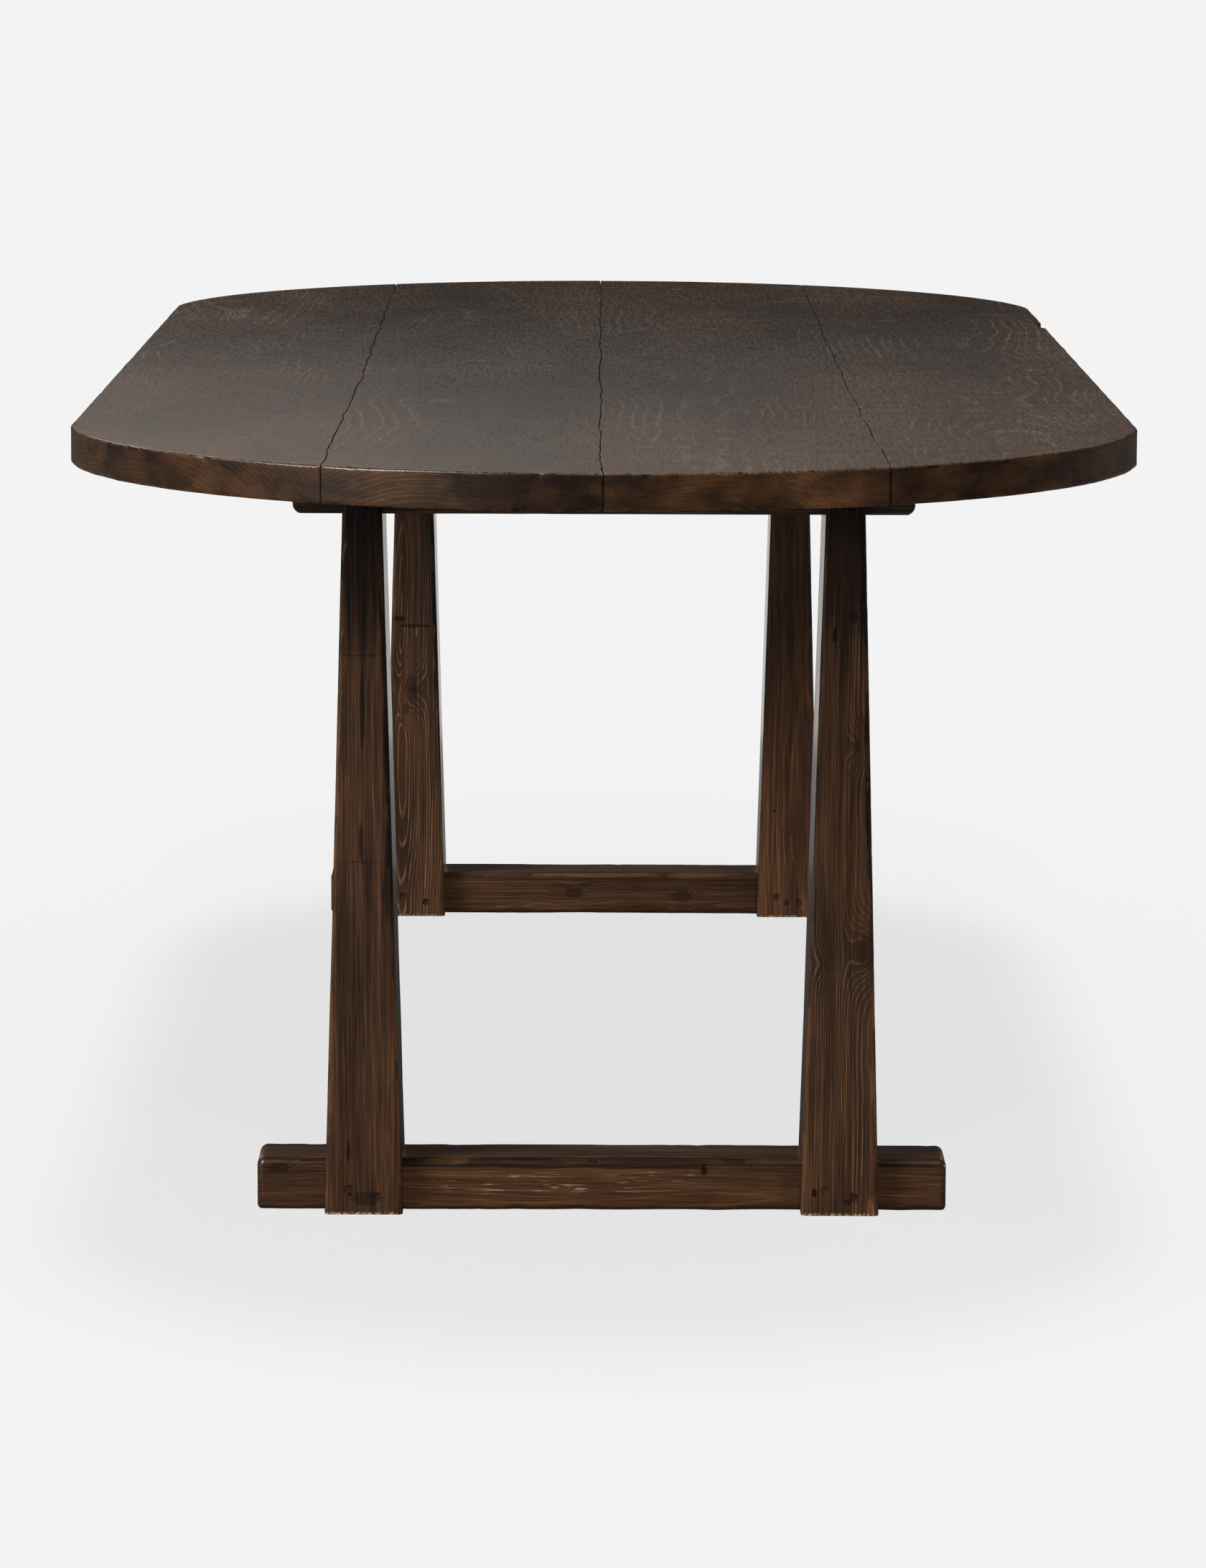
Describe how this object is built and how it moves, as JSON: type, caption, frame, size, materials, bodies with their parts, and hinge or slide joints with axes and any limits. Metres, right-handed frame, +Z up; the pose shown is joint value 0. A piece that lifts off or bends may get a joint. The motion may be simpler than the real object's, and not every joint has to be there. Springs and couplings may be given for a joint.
{
  "type": "dining table",
  "caption": "Round-ended dining table of dark reclaimed planks on two end frames with tapered legs slotted over a foot rail and a head rail.",
  "frame": {"origin": "on the floor, straight under the middle of the table's top", "axes": "+Z up, +Y along the table's length to the rear end frame, +X across the table to its right side"},
  "size_m": [1.045, 2.55, 0.762],
  "materials": {
    "top": "waxed reclaimed pine, dark grey-brown, satin",
    "frame": "waxed reclaimed pine, dark brown, satin",
    "peg": "riven hardwood, dark, matt",
    "tongue": "planed softwood, bare",
    "steel": "plain dull steel"
  },
  "bodies": {
    "root": {"top_board_outer_left": "top", "top_board_inner_left": "top", "top_board_inner_right": "top", "top_board_outer_right": "top", "left_seam_tongue": "tongue", "middle_seam_tongue": "tongue", "right_seam_tongue": "tongue", "front_left_leg": "frame", "front_right_leg": "frame", "rear_left_leg": "frame", "rear_right_leg": "frame", "front_foot_rail": "frame", "rear_foot_rail": "frame", "front_head_rail": "frame", "rear_head_rail": "frame", "front_foot_pegs": "peg", "rear_foot_pegs": "peg", "front_head_pegs": "peg", "rear_head_pegs": "peg", "front_top_screws": "steel", "rear_top_screws": "steel", "front_screw_washers": "steel", "rear_screw_washers": "steel"}
  },
  "joints": []
}
